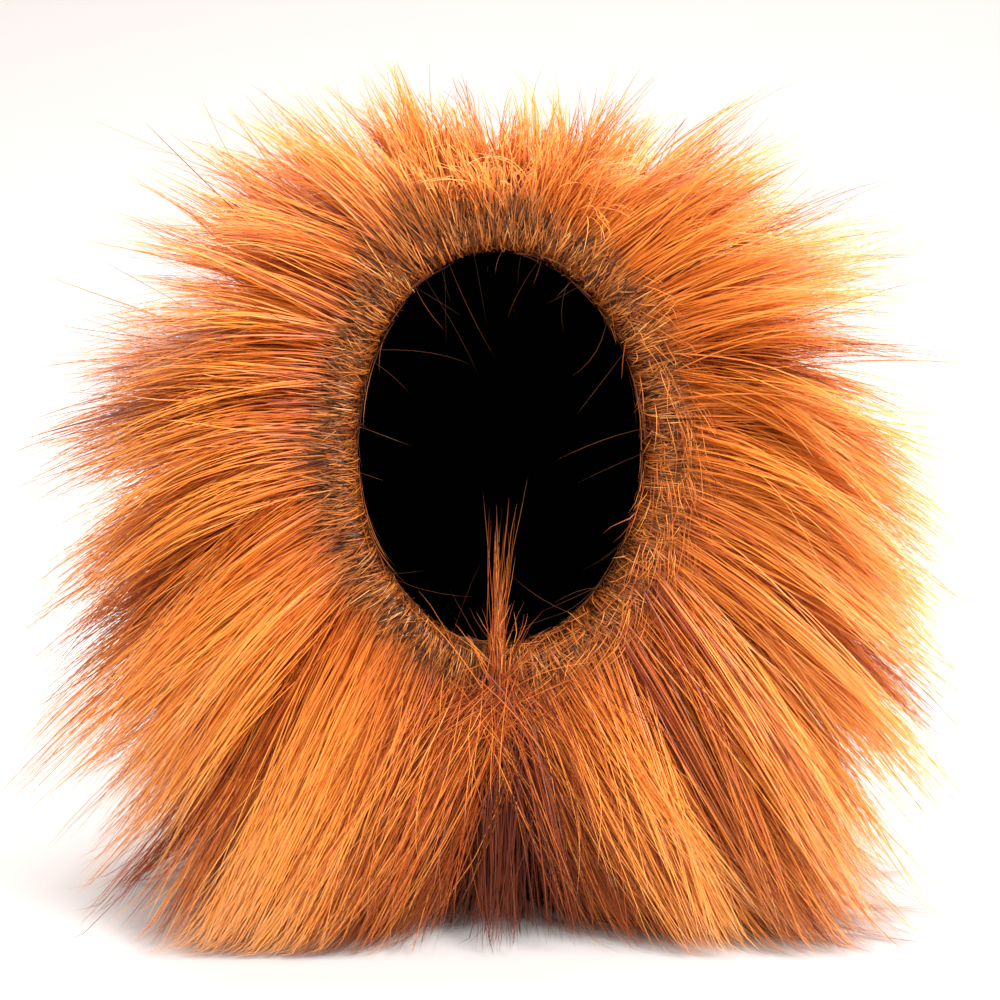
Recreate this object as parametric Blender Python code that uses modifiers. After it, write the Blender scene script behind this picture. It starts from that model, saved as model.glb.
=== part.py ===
"""Pet lion mane wig: a hood of long faux fur with a padded face hem, a black lining and an open neck.

Metres, +Z up. The face opening looks along -Y and +X is to the viewer's right. The origin is under the
middle of the whole wig, on the surface that it stands on.
"""

import math
import random
from typing import NamedTuple

import bmesh
import bpy
from mathutils import Vector

MM = 0.001

# Hood: rings from the face rim to the back of the head, each an oval that is widest at its own height
SQUARENESS = 2.3
LINING_WALL = 1.5 * MM
LINING_SEGMENTS = 28

# Face hem: a padded roll round the face opening
FACE_CENTRE = Vector((0.0, -74.0 * MM, 198.5 * MM))
FACE_HALF_WIDTH = 65.0 * MM
FACE_HALF_HEIGHT = 88.0 * MM
HEM_RADIUS = 8.0 * MM
HEM_POINTS = 32

# Neck hem: a flat folded band under the neck edge, which the wig stands on
NECK_BAND_HEIGHT = 6.0 * MM
NECK_BAND_WIDTH = 9.0 * MM
NECK_RINGS = 17

# Fur panels: curved backings with locks, kept apart from each other by the seam gap
GAP = 0.3 * MM
SEAM_GAP = 0.7 * MM
BACKING = 9.0 * MM
BACKING_INTO_CORE = 2.0 * MM
PANEL_START = 0.03
PANEL_END = 0.57
BACK_START = 0.50
BACK_END = 0.985
PATCH_STEP_DEG = 13.0
PATCH_STEP_ALONG = 0.1
SEAM_DEPTH = 22.0 * MM
SEAM_CENTRE_HEIGHT = 190.0 * MM
SEAM_ARC_DEG = 40.0
PANEL_FOOT = 11.0 * MM
FAR = 600.0 * MM
FLOOR_CLEARANCE = 1.0 * MM

# Locks: flattened tapered bodies, their roots sunk into the backing
LOCK_SIDES = 6
LOCK_STATIONS = ((0.0, 0.72), (0.36, 1.0), (0.74, 0.82), (1.0, 0.07))
ROOT_DEPTH = 4.0 * MM
LOWEST_ROOT = 20.0 * MM
BEND_PLACE = 0.45
STAGGER = 0.3
TIP_HALF_THICKNESS = 0.1
TURN_JITTER_DEG = 3.0
REACH_JITTER = 0.05
SEED = 7

# Chin tuft: a bead of fur seated on the hem's front, below its middle, with one lock up and two sideways
TUFT_BEAD_SIZE = Vector((13.0 * MM, 5.2 * MM, 8.0 * MM))
TUFT_SIDEWAYS = -1.0 * MM
TUFT_SEAT_DEG = 28.0

# Reading the hood: steps for its directions, and rounds for its own clock angle
AROUND_STEP_DEG = 2.0
ALONG_STEP = 0.01
CLOCK_ROUNDS = 8


class Section(NamedTuple):
    """One ring of the hood, in millimetres: where it lies front to back, and its oval."""

    depth: float
    half_width: float
    top: float
    widest: float
    bottom: float


class Reach(NamedTuple):
    """How far the mane reaches from the face centre, in millimetres, at a clock angle seen from the front."""

    clock: float
    reach: float


class LockRow(NamedTuple):
    """A row of like locks: where they root, where their tips lie, their size in millimetres and spacing."""

    along: float
    tip_share: float
    tip_depth: float
    width: float
    thickness: float
    lift: float
    spacing: float
    droop: float


class TuftLock(NamedTuple):
    """A lock of the chin tuft, in millimetres from the bead: its bend, its tip and its section."""

    name: str
    middle: Vector
    tip: Vector
    width: float
    thickness: float


class Panel(NamedTuple):
    """A fur panel: the clock angles between its seams, how far its blank runs past them, and its colour."""

    name: str
    clock_from: float
    clock_to: float
    overlap: float
    at_back: bool
    meets_neck: bool
    colour: tuple


HOOD = (
    Section(-65.0, 66.0, 288.0, 199.0, 110.0),
    Section(-58.0, 75.0, 294.0, 192.0, 66.0),
    Section(-46.0, 83.0, 298.0, 184.0, 8.0),
    Section(-20.0, 90.0, 301.0, 176.0, -45.0),
    Section(20.0, 92.0, 301.0, 172.0, -52.0),
    Section(52.0, 85.0, 292.0, 168.0, -45.0),
    Section(74.0, 68.0, 270.0, 166.0, -12.0),
    Section(86.0, 42.0, 230.0, 165.0, 70.0),
    Section(90.0, 12.0, 182.0, 165.0, 148.0),
)

MANE_REACH = (
    Reach(0.0, 128.0),
    Reach(22.0, 138.0),
    Reach(45.0, 163.0),
    Reach(62.0, 166.0),
    Reach(90.0, 164.0),
    Reach(110.0, 182.0),
    Reach(125.0, 214.0),
    Reach(140.0, 236.0),
    Reach(155.0, 226.0),
    Reach(180.0, 203.0),
    Reach(205.0, 222.0),
    Reach(222.0, 232.0),
    Reach(240.0, 205.0),
    Reach(262.0, 178.0),
    Reach(290.0, 172.0),
    Reach(310.0, 168.0),
    Reach(335.0, 140.0),
    Reach(360.0, 128.0),
)

FRONT_ROWS = (
    LockRow(0.13, 0.90, -98.0, 46.0, 22.0, 18.0, 17.0, 0.0),
    LockRow(0.27, 1.00, -58.0, 50.0, 30.0, 14.0, 17.0, 0.0),
    LockRow(0.44, 0.97, -8.0, 56.0, 36.0, 8.0, 20.0, 4.0),
)

BACK_ROWS = (
    LockRow(0.61, 0.92, 56.0, 60.0, 36.0, 12.0, 24.0, 12.0),
    LockRow(0.76, 0.74, 108.0, 62.0, 34.0, 22.0, 30.0, 38.0),
    LockRow(0.92, 0.36, 132.0, 54.0, 27.0, 28.0, 52.0, 58.0),
)

ORANGE = (0.78, 0.19, 0.03, 1.0)
RUST = (0.42, 0.09, 0.02, 1.0)
TAN = (0.48, 0.25, 0.11, 1.0)
BLACK = (0.012, 0.010, 0.009, 1.0)

PANELS = (
    Panel("crown_fur", -52.0, 52.0, 16.0, False, False, ORANGE),
    Panel("right_cheek_fur", 52.0, 116.0, 16.0, False, False, ORANGE),
    Panel("left_cheek_fur", 244.0, 308.0, 16.0, False, False, ORANGE),
    Panel("right_bib_fur", 116.0, 180.0, 16.0, False, True, ORANGE),
    Panel("left_bib_fur", 180.0, 244.0, 16.0, False, True, ORANGE),
    Panel("back_fur", -122.0, 122.0, 29.0, True, False, ORANGE),
    Panel("nape_fur", 122.0, 238.0, 16.0, True, True, RUST),
)

TUFT_LOCKS = (
    TuftLock("up", Vector((-1.0, -4.5, 20.0)), Vector((0.5, -2.0, 37.0)), 12.0, 6.0),
    TuftLock("left", Vector((-18.0, -4.0, 2.0)), Vector((-30.0, -3.0, -12.0)), 13.0, 6.0),
    TuftLock("right", Vector((16.0, -4.0, 3.0)), Vector((28.0, -3.0, -9.0)), 13.0, 6.0),
)


def clear_scene():
    """Remove the scene's own objects."""
    for obj in list(bpy.data.objects):
        bpy.data.objects.remove(obj, do_unlink=True)


def new_collection(name, parent):
    """A collection under another."""
    made = bpy.data.collections.new(name)
    parent.children.link(made)
    return made


def material(name, colour, roughness):
    """A plain cloth or fur finish."""
    made = bpy.data.materials.new(name)
    made.use_nodes = True
    shader = made.node_tree.nodes["Principled BSDF"]
    shader.inputs["Base Color"].default_value = colour
    shader.inputs["Roughness"].default_value = roughness
    shader.inputs["Metallic"].default_value = 0.0
    return made


def object_from(bm, name, collection):
    """An object that holds a finished bmesh."""
    bmesh.ops.recalc_face_normals(bm, faces=bm.faces)
    mesh = bpy.data.meshes.new(name)
    bm.to_mesh(mesh)
    bm.free()
    obj = bpy.data.objects.new(name, mesh)
    collection.objects.link(obj)
    return obj


def as_helper(obj):
    """Mark a cutter or a joined lock, which is no node of its own."""
    obj.hide_render = True
    obj.display_type = "WIRE"
    return obj


def finish(obj, surface, crease_deg=50.0):
    """Give an object its material and smooth shading."""
    obj.data.materials.append(surface)
    obj.data.shade_smooth()
    obj.data.set_sharp_from_angle(angle=math.radians(crease_deg))
    return obj


def smooth_between(before, low, high, after, t):
    """A smooth curve through values at even steps, read between the middle two."""
    slope = high - before
    curve = 2 * before - 5 * low + 4 * high - after
    twist = 3 * (low - high) + after - before
    return low + 0.5 * t * (slope + t * (curve + t * twist))


def hood_section(along):
    """The hood's ring at a place from 0 at the face rim to 1 at the back of the head."""
    place = min(max(along, 0.0), 1.0) * (len(HOOD) - 1)
    row = min(int(place), len(HOOD) - 2)
    last = len(HOOD) - 1
    rows = [HOOD[min(max(row + step, 0), last)] for step in (-1, 0, 1, 2)]
    return Section(*(smooth_between(*values, place - row) for values in zip(*rows)))


def hood_point(clock, along):
    """A point of the hood's surface, at a clock angle in degrees."""
    ring = hood_section(along)
    side = math.sin(math.radians(clock))
    rise = math.cos(math.radians(clock))
    height = ring.top - ring.widest if rise > 0 else ring.widest - ring.bottom
    share = (abs(side) / ring.half_width) ** SQUARENESS + (abs(rise) / height) ** SQUARENESS
    radius = share ** (-1 / SQUARENESS)
    return Vector((radius * side, ring.depth, ring.widest + radius * rise)) * MM


def hood_around(clock, along):
    """The hood's direction of growing clock angle."""
    after = hood_point(clock + AROUND_STEP_DEG, along)
    return (after - hood_point(clock - AROUND_STEP_DEG, along)).normalized()


def hood_normal(clock, along):
    """The hood's outward direction."""
    low = max(along - ALONG_STEP, 0.0)
    backward = hood_point(clock, low + 2 * ALONG_STEP) - hood_point(clock, low)
    return hood_around(clock, along).cross(backward).normalized()


def clock_on_hood(clock, along):
    """The hood's own clock angle at a place that lies at a clock angle round the seam axis."""
    own = clock
    for _ in range(CLOCK_ROUNDS):
        place = hood_point(own, along)
        seen = math.degrees(math.atan2(place.x, place.z - SEAM_CENTRE_HEIGHT))
        own += (clock - seen + 180) % 360 - 180
    return own


def mane_reach(clock):
    """How far the mane reaches at a clock angle, in metres."""
    turned = clock % 360.0
    for low, high in zip(MANE_REACH, MANE_REACH[1:]):
        if low.clock <= turned <= high.clock:
            share = (turned - low.clock) / (high.clock - low.clock)
            return (low.reach + share * (high.reach - low.reach)) * MM
    return MANE_REACH[0].reach * MM


def hood_patch(name, clocks, alongs, closed, capped_rings, collection, out=0.0, lowest=None):
    """An open surface over part of the hood, as rings bridged from front to back, with its foot cut level."""
    bm = bmesh.new()
    rings = [
        [bm.verts.new(hood_point(clock, along) + hood_normal(clock, along) * out) for clock in clocks]
        for along in alongs
    ]
    for ring, following in zip(rings, rings[1:]):
        for i in range(len(ring) if closed else len(ring) - 1):
            j = (i + 1) % len(ring)
            bm.faces.new((ring[i], ring[j], following[j], following[i]))
    for place in capped_rings:
        bmesh.ops.contextual_create(bm, geom=rings[place])
    bmesh.ops.triangulate(bm, faces=bm.faces)
    if lowest is not None:
        every = bm.verts[:] + bm.edges[:] + bm.faces[:]
        bmesh.ops.bisect_plane(
            bm, geom=every, plane_co=(0, 0, lowest), plane_no=(0, 0, 1), clear_inner=True
        )
    return object_from(bm, name, collection)


def evenly(low, high, most_step):
    """Values from low to high, no further apart than a step."""
    count = max(2, math.ceil((high - low) / most_step) + 1)
    return [low + (high - low) * i / (count - 1) for i in range(count)]


def solidify(obj, thickness):
    """Turn an open surface into a wall outside it."""
    wall = obj.modifiers.new("wall", "SOLIDIFY")
    wall.thickness = thickness
    wall.offset = 1.0
    wall.use_rim = True
    return wall


def boolean(obj, operation, other, solver="EXACT"):
    """Cut or join an object with another, or with a collection of them."""
    made = obj.modifiers.new(operation.lower(), "BOOLEAN")
    made.operation = operation
    made.solver = solver
    if isinstance(other, bpy.types.Collection):
        made.operand_type = "COLLECTION"
        made.collection = other
    else:
        made.object = other
    return made


def box_between(name, low, high, collection):
    """A box helper between two corners."""
    bm = bmesh.new()
    bmesh.ops.create_cube(bm, size=1.0)
    size = Vector(high) - Vector(low)
    bmesh.ops.scale(bm, vec=size, verts=bm.verts)
    bmesh.ops.translate(bm, vec=(Vector(high) + Vector(low)) / 2, verts=bm.verts)
    return as_helper(object_from(bm, name, collection))


def sector(name, clock_from, clock_to, depth_from, depth_to, collection):
    """A wedge round the seam axis, which keeps a panel inside its own seams."""
    middle = math.radians((clock_from + clock_to) / 2)
    half = math.radians((clock_to - clock_from) / 2)
    inset = SEAM_GAP / 2 / math.sin(half)
    apex_x = inset * math.sin(middle)
    apex_z = SEAM_CENTRE_HEIGHT + inset * math.cos(middle)
    bm = bmesh.new()
    outline = [bm.verts.new((apex_x, depth_from, apex_z))]
    for clock in evenly(clock_from, clock_to, SEAM_ARC_DEG):
        turn = math.radians(clock)
        outline.append(
            bm.verts.new((apex_x + FAR * math.sin(turn), depth_from, apex_z + FAR * math.cos(turn)))
        )
    face = bm.faces.new(outline)
    grown = bmesh.ops.extrude_face_region(bm, geom=[face])
    moved = [v for v in grown["geom"] if isinstance(v, bmesh.types.BMVert)]
    bmesh.ops.translate(bm, vec=(0.0, depth_to - depth_from, 0.0), verts=moved)
    return as_helper(object_from(bm, name, collection))


def lock(name, spine, out, around, width, thickness, collection):
    """A flattened tapered lock: ovals along a spine, bridged and capped, its flat side turned outward."""
    bm = bmesh.new()
    loops = []
    whole = (spine[-1] - spine[0]).normalized()
    side = max(whole.cross(out), around - whole * around.dot(whole), key=lambda way: way.length)
    for i, (_, share) in enumerate(LOCK_STATIONS):
        before = spine[max(i - 1, 0)]
        after = spine[min(i + 1, len(spine) - 1)]
        forward = (after - before).normalized()
        across = (side - forward * side.dot(forward)).normalized()
        up = across.cross(forward).normalized()
        ring = bmesh.ops.create_circle(bm, cap_ends=False, segments=LOCK_SIDES, radius=1.0)["verts"]
        for vertex in ring:
            flat = vertex.co.x * width / 2 * share
            thick = vertex.co.y * thickness / 2 * share
            vertex.co = spine[i] + across * flat + up * thick
        sunk = FLOOR_CLEARANCE - min(vertex.co.z for vertex in ring)
        if sunk > 0:
            bmesh.ops.translate(bm, vec=(0, 0, sunk), verts=ring)
        loops.append(list({edge for vertex in ring for edge in vertex.link_edges}))
    for first, second in zip(loops, loops[1:]):
        bmesh.ops.bridge_loops(bm, edges=first + second)
    bmesh.ops.contextual_create(bm, geom=loops[0])
    bmesh.ops.contextual_create(bm, geom=loops[-1])
    return as_helper(object_from(bm, name, collection))


def bent_spine(root, middle, tip):
    """Points at the lock's stations on a curve that leaves the root and bends over to the tip."""
    return [root.lerp(middle, t).lerp(middle.lerp(tip, t), t) for t, _ in LOCK_STATIONS]


def mane_tip(clock, row, share):
    """Where a lock's tip lies, seen from the face centre."""
    turn = math.radians(clock)
    reach = mane_reach(clock) * row.tip_share * share
    tip = Vector((reach * math.sin(turn), row.tip_depth * MM, FACE_CENTRE.z + reach * math.cos(turn)))
    tip.z = max(tip.z - row.droop * MM, FLOOR_CLEARANCE + TIP_HALF_THICKNESS * row.thickness * MM)
    return tip


def panel_locks(panel, rng, collection):
    """The locks of one panel, row by row."""
    span = panel.clock_to - panel.clock_from
    for level, row in enumerate(BACK_ROWS if panel.at_back else FRONT_ROWS):
        count = max(2, round(span / row.spacing))
        for i in range(count):
            place = (i + 0.5 + STAGGER * (level % 2 - 0.5)) / count
            clock = panel.clock_from + span * place
            turned = clock + rng.uniform(-TURN_JITTER_DEG, TURN_JITTER_DEG)
            share = 1 + rng.uniform(-REACH_JITTER, REACH_JITTER)
            own = clock_on_hood(clock, row.along)
            out = hood_normal(own, row.along)
            root = hood_point(own, row.along) + out * (BACKING - ROOT_DEPTH)
            if root.z < LOWEST_ROOT:
                continue
            tip = mane_tip(turned, row, share)
            middle = root.lerp(tip, BEND_PLACE) + out * row.lift * MM
            lock(
                f"{panel.name}_lock_{level}_{i}",
                bent_spine(root, middle, tip),
                out,
                hood_around(own, row.along),
                row.width * MM,
                row.thickness * MM,
                collection,
            )


def whole_hood(name, capped_rings, collection, out=0.0, rings=len(HOOD)):
    """The hood's whole surface, with the rings that are closed by a face."""
    clocks = [360.0 * i / LINING_SEGMENTS for i in range(LINING_SEGMENTS)]
    alongs = evenly(0.0, 1.0, 1 / (rings - 1))
    return hood_patch(name, clocks, alongs, True, capped_rings, collection, out)


def make_lining(parts, neck_trim):
    """The black cloth wall inside the hood, open at the face and at the neck."""
    obj = whole_hood("hood_lining", (-1,), parts)
    solidify(obj, -LINING_WALL)
    boolean(obj, "DIFFERENCE", neck_trim)
    return finish(obj, material("black_knit_lining", BLACK, 0.9))


def make_face_hem(parts):
    """The padded roll round the face opening."""
    curve = bpy.data.curves.new("face_hem", "CURVE")
    curve.dimensions = "3D"
    curve.bevel_depth = HEM_RADIUS
    curve.bevel_resolution = 2
    spline = curve.splines.new("POLY")
    spline.points.add(HEM_POINTS - 1)
    for i, point in enumerate(spline.points):
        turn = 2 * math.pi * i / HEM_POINTS
        place = FACE_CENTRE + Vector((FACE_HALF_WIDTH * math.sin(turn), 0, FACE_HALF_HEIGHT * math.cos(turn)))
        point.co = (*place, 1.0)
    spline.use_cyclic_u = True
    obj = bpy.data.objects.new("face_hem", curve)
    parts.objects.link(obj)
    curve.materials.append(material("short_tan_pile", TAN, 0.85))
    return obj


def make_neck_hem(parts):
    """The flat band under the neck edge: the hood's outline at the neck, as a strip with a wall."""
    shell = whole_hood("neck_guide", (), parts, rings=NECK_RINGS)
    bm = bmesh.new()
    bm.from_mesh(shell.data)
    bpy.data.objects.remove(shell, do_unlink=True)
    cut = bmesh.ops.bisect_plane(
        bm,
        geom=bm.verts[:] + bm.edges[:] + bm.faces[:],
        plane_co=(0, 0, NECK_BAND_HEIGHT / 2),
        plane_no=(0, 0, 1),
    )["geom_cut"]
    loop = [edge for edge in cut if isinstance(edge, bmesh.types.BMEdge)]
    keep = {vertex for edge in loop for vertex in edge.verts}
    bmesh.ops.delete(bm, geom=[face for face in bm.faces], context="FACES_ONLY")
    bmesh.ops.delete(bm, geom=[edge for edge in bm.edges if edge not in loop], context="EDGES")
    bmesh.ops.delete(bm, geom=[vertex for vertex in bm.verts if vertex not in keep], context="VERTS")
    bmesh.ops.translate(bm, vec=(0, 0, -NECK_BAND_HEIGHT / 2), verts=bm.verts)
    grown = bmesh.ops.extrude_edge_only(bm, edges=bm.edges)["geom"]
    raised = [vertex for vertex in grown if isinstance(vertex, bmesh.types.BMVert)]
    bmesh.ops.translate(bm, vec=(0, 0, NECK_BAND_HEIGHT), verts=raised)
    obj = object_from(bm, "neck_hem", parts)
    wall = solidify(obj, NECK_BAND_WIDTH)
    wall.offset = 0.0
    wall.use_even_offset = True
    return finish(obj, material("folded_black_band", BLACK, 0.85))


def make_panel(panel, parts, helpers, core, rng):
    """A fur panel: a thick curved backing with its locks joined on, cut to its own seams."""
    front = -FAR if not panel.at_back else SEAM_DEPTH + SEAM_GAP / 2
    back = FAR if panel.at_back else SEAM_DEPTH - SEAM_GAP / 2
    territory = sector(f"{panel.name}_seams", panel.clock_from, panel.clock_to, front, back, helpers)
    clocks = evenly(panel.clock_from - panel.overlap, panel.clock_to + panel.overlap, PATCH_STEP_DEG)
    start, end = (BACK_START, BACK_END) if panel.at_back else (PANEL_START, PANEL_END)
    alongs = evenly(start, end, PATCH_STEP_ALONG)
    lowest = PANEL_FOOT if panel.meets_neck else None
    obj = hood_patch(panel.name, clocks, alongs, False, (), parts, -BACKING_INTO_CORE, lowest)
    solidify(obj, BACKING + BACKING_INTO_CORE)
    locks = new_collection(f"{panel.name}_locks", helpers)
    panel_locks(panel, rng, locks)
    boolean(obj, "UNION", locks, "MANIFOLD")
    boolean(obj, "DIFFERENCE", core, "MANIFOLD")
    boolean(obj, "INTERSECT", territory, "MANIFOLD")
    return finish(obj, material(f"{panel.name}_pile", panel.colour, 0.8))


def tuft_seat():
    """The middle of the tuft's bead, which lies a gap away from the hem's roll."""
    turn = math.radians(TUFT_SEAT_DEG)
    forward, down = math.cos(turn), math.sin(turn)
    reach = 1 / math.hypot(forward / TUFT_BEAD_SIZE.y, down / TUFT_BEAD_SIZE.z)
    away = HEM_RADIUS + GAP + reach
    lowest = FACE_CENTRE.z - FACE_HALF_HEIGHT
    return Vector((TUFT_SIDEWAYS, FACE_CENTRE.y - away * forward, lowest - away * down))


def make_chin_tuft(parts, helpers):
    """The tuft on the hem's front at the chin: a bead, one lock up and two sideways."""
    seat = tuft_seat()
    bm = bmesh.new()
    bmesh.ops.create_uvsphere(bm, u_segments=10, v_segments=6, radius=1.0)
    bmesh.ops.scale(bm, vec=TUFT_BEAD_SIZE, verts=bm.verts)
    bmesh.ops.translate(bm, vec=seat, verts=bm.verts)
    obj = object_from(bm, "chin_tuft", parts)
    locks = new_collection("chin_tuft_locks", helpers)
    front = Vector((0, -1, 0))
    for row in TUFT_LOCKS:
        spine = bent_spine(seat, seat + row.middle * MM, seat + row.tip * MM)
        lock(f"chin_tuft_lock_{row.name}", spine, front, front, row.width * MM, row.thickness * MM, locks)
    boolean(obj, "UNION", locks)
    return finish(obj, material("chin_tuft_pile", ORANGE, 0.8))


def centre_on_origin(parts, anchor):
    """Move the whole wig so that the middle of its underside is the origin."""
    bpy.context.view_layer.update()
    graph = bpy.context.evaluated_depsgraph_get()
    corners = []
    for obj in parts.objects:
        mesh = obj.evaluated_get(graph).to_mesh()
        corners += [vertex.co.copy() for vertex in mesh.vertices]
        obj.evaluated_get(graph).to_mesh_clear()
    middle = [(min(c[i] for c in corners) + max(c[i] for c in corners)) / 2 for i in (0, 1)]
    anchor.location = (-middle[0], -middle[1], -min(c.z for c in corners))


def main():
    """Build the wig."""
    clear_scene()
    root = bpy.context.scene.collection
    parts = new_collection("pet_lion_mane_wig", root)
    helpers = new_collection("helpers", root)
    rng = random.Random(SEED)
    neck_trim = box_between(
        "neck_trim", (-FAR, -FAR, -FAR), (FAR, FAR, NECK_BAND_HEIGHT + GAP), helpers
    )
    core = as_helper(whole_hood("hood_core", (0, -1), helpers, GAP))
    make_lining(parts, neck_trim)
    make_face_hem(parts)
    make_neck_hem(parts)
    for panel in PANELS:
        make_panel(panel, parts, helpers, core, rng)
    make_chin_tuft(parts, helpers)
    anchor = bpy.data.objects.new("mane_origin", None)
    root.objects.link(anchor)
    for obj in list(parts.objects) + list(helpers.all_objects):
        obj.parent = anchor
    centre_on_origin(parts, anchor)


main()
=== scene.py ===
"""Looks of a pet lion mane wig: long faux-fur pile over a hood, with a padded face hem and a black lining."""

import logging
import math
from dataclasses import astuple, dataclass, field
from enum import Enum

import bmesh
import bpy
import numpy as np
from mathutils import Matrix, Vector


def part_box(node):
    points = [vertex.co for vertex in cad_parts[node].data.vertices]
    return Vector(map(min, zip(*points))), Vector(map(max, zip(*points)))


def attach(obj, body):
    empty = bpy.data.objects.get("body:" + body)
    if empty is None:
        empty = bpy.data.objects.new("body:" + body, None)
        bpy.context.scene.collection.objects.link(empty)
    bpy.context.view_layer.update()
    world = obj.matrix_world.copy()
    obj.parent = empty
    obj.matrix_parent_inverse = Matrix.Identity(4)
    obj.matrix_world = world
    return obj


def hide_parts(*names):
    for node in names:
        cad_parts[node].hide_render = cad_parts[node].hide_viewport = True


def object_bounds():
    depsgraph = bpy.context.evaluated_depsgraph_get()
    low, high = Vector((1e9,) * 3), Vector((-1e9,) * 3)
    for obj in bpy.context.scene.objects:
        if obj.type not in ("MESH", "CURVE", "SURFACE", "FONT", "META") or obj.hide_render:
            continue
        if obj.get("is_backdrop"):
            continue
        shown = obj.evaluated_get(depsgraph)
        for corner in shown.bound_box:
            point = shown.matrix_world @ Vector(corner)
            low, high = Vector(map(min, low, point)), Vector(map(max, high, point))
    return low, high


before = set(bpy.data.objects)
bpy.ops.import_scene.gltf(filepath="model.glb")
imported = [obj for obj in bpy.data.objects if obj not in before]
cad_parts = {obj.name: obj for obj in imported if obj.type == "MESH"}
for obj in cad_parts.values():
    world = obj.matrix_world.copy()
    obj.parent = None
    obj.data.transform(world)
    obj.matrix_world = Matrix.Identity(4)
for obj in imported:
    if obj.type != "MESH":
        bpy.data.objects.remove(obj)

MM = 0.001
BROAD_SEED = 700  # the widest waves of the mane run on from one panel to the next
HEAD_HEIGHT = 170.0 * MM  # the middle of the hood, which the pile stands away from
HOOD_LENGTH = 330.0 * MM  # from the face over the crown to the back of the head
FACE_FORWARD = 74.0 * MM  # from the hood's own zero to the middle of the face hem
CAMERA_HEIGHT = 178.0 * MM  # what the camera looks at
PILE_ROOM = np.array([17.0, 14.0, 16.0]) * MM  # how far tips may aim past the solids' box
LYING = 7 * MM  # how far under the floor a tip may aim, which lays its hair along the floor
FORWARD = np.array([0.0, -1.0, 0.0])  # out of the face
UP = np.array([0.0, 0.0, 1.0])
TINTS = (0.02, 0.98)  # the part of a tint ramp that hairs use
CRIMP_TURNS = (0.4, 1.2)  # waves along a hair
CRIMP_SIZE = (0.4, 2.2)  # millimetres that a hair's tip waves
WAVE_SCALE = 0.31  # the Wave node's scale for ribs about a metre apart
Array = np.ndarray
Pair = tuple[float, float]
Triple = tuple[float, float, float]
log = logging.getLogger("mane")


def linear(code: str) -> tuple[float, float, float, float]:
    """Turn an sRGB hex colour to linear.

    Args:
        code: six hex digits.

    Returns:
        Linear red, green, blue and an alpha of 1.
    """
    parts = [int(code[i : i + 2], 16) / 255 for i in (0, 2, 4)]
    return tuple(p / 12.92 if p <= 0.04045 else ((p + 0.055) / 1.055) ** 2.4 for p in parts) + (1.0,)


def add_node(
    tree: bpy.types.NodeTree, kind: str, links: dict | None = None, **settings: object
) -> bpy.types.Node:
    """Add a node with its settings, socket values and links.

    Args:
        tree: the material's node tree.
        kind: the node's type name.
        links: input name or index to a value or to an output socket.
        settings: attributes of the node.

    Returns:
        The new node.
    """
    node = tree.nodes.new(kind)
    for name, value in settings.items():
        setattr(node, name, value)
    for name, value in (links or {}).items():
        if isinstance(value, bpy.types.NodeSocket):
            tree.links.new(value, node.inputs[name])
        else:
            node.inputs[name].default_value = value
    return node


def set_ramp(node: bpy.types.Node, stops: tuple[tuple[float, str], ...]) -> bpy.types.Node:
    """Give a colour ramp its stops.

    Args:
        node: the ramp.
        stops: place and sRGB hex colour of each stop, in order.

    Returns:
        The same node.
    """
    elements = node.color_ramp.elements
    while len(elements) < len(stops):
        elements.new(1.0)
    for element, (place, code) in zip(elements, stops):
        element.position = place
        element.color = linear(code)
    return node


def new_material(name: str) -> tuple[bpy.types.Material, bpy.types.NodeTree, bpy.types.Node]:
    """Start a node material.

    Args:
        name: the real material's name.

    Returns:
        The material, its node tree and its main shader.
    """
    made = bpy.data.materials.new(name)
    made.use_nodes = True
    return made, made.node_tree, made.node_tree.nodes["Principled BSDF"]


class Slot(Enum):
    """The record's material slots."""

    MANE = "mane_pile"
    HEM = "hem_pile"
    LINING = "lining"


class Hold(Enum):
    """How a cloth piece is held."""

    STRETCHED = "stretched"
    FOLDED = "folded"


def stand_for(obj: bpy.types.Object, node: str) -> bpy.types.Object:
    """Hang a piece on the root body and hide the solid that it stands for.

    Args:
        obj: the piece.
        node: the solid that it replaces.

    Returns:
        The same piece.
    """
    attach(obj, "root")
    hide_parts(node)
    return obj


@dataclass(frozen=True)
class PileFinish:
    """Modacrylic faux-fur pile: dyed staple, heat-crimped, with a soft gloss along each hair."""

    name: str
    along: tuple[tuple[float, str], ...]
    tint: tuple[tuple[float, str], ...]
    roughness: float = 0.42
    gloss: float = 0.24

    def material(self) -> bpy.types.Material:
        """Make the material: its colour from root to tip, times a tint for each hair.

        Returns:
            The material.
        """
        made, tree, shader = new_material(self.name)
        strand = add_node(tree, "ShaderNodeUVMap", uv_map="strand")
        parts = add_node(tree, "ShaderNodeSeparateXYZ", {0: strand.outputs["UV"]})
        along = set_ramp(add_node(tree, "ShaderNodeValToRGB", {"Fac": parts.outputs["Y"]}), self.along)
        tint = set_ramp(add_node(tree, "ShaderNodeValToRGB", {"Fac": parts.outputs["X"]}), self.tint)
        both = add_node(tree, "ShaderNodeMix", data_type="RGBA", blend_type="MULTIPLY")
        both.inputs["Factor"].default_value = 1.0
        tree.links.new(along.outputs["Color"], both.inputs[6])
        tree.links.new(tint.outputs["Color"], both.inputs[7])
        tree.links.new(both.outputs[2], shader.inputs["Base Color"])
        shader.inputs["Roughness"].default_value = self.roughness
        shader.inputs["Specular IOR Level"].default_value = self.gloss
        return made


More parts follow.
